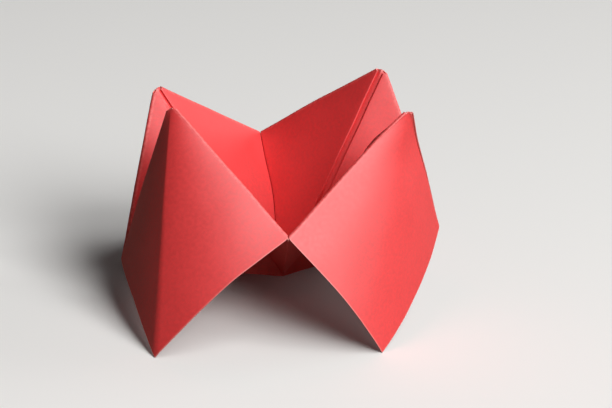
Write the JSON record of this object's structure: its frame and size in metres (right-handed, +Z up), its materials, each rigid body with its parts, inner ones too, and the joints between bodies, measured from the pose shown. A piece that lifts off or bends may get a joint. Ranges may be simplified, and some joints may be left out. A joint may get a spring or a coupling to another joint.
{
  "type": "paper fortune teller",
  "caption": "Folded square sheet of red paper standing open on its corners, with pointed tips round a mouth and a finger pocket behind each tip.",
  "frame": {"origin": "bottom centre of the part's box, on the surface that it stands on", "axes": "+Z up, out of the mouth; -Y towards the front notch, which the picture looks at; +X to the right as seen from the front"},
  "size_m": [0.0716, 0.0686, 0.0517],
  "materials": {
    "red_paper": "matt red paper with faint fibre, lighter along folds and cut edges"
  },
  "bodies": {
    "root": {"folded_sheet": "red_paper"}
  },
  "joints": []
}
